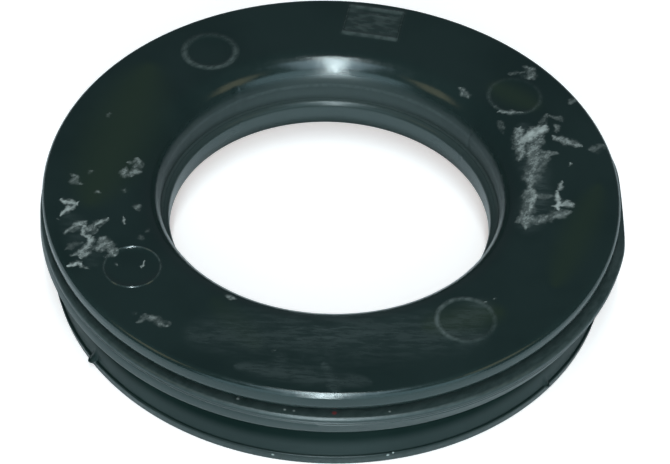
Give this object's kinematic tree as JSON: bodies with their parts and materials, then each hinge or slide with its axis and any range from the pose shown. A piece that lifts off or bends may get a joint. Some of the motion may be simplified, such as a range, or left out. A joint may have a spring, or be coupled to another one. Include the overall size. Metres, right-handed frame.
{
  "type": "sealing ring",
  "caption": "Moulded rubber sealing ring with a bell-mouthed bore, an inner lip and a groove round the outside for a panel's edge.",
  "frame": {"origin": "centre of the flat face that the ring stands on", "axes": "+Z along the bore's axis, towards the bell mouth; +X lies 35.4 degrees clockwise, seen from above, of the first ejector pin mark; the moulded plate is near +Y"},
  "size_m": [0.0868, 0.0868, 0.0161],
  "materials": {
    "rubber": "satin moulded rubber, black with a green cast"
  },
  "bodies": {
    "root": {"sealing_ring": "rubber"}
  },
  "joints": []
}
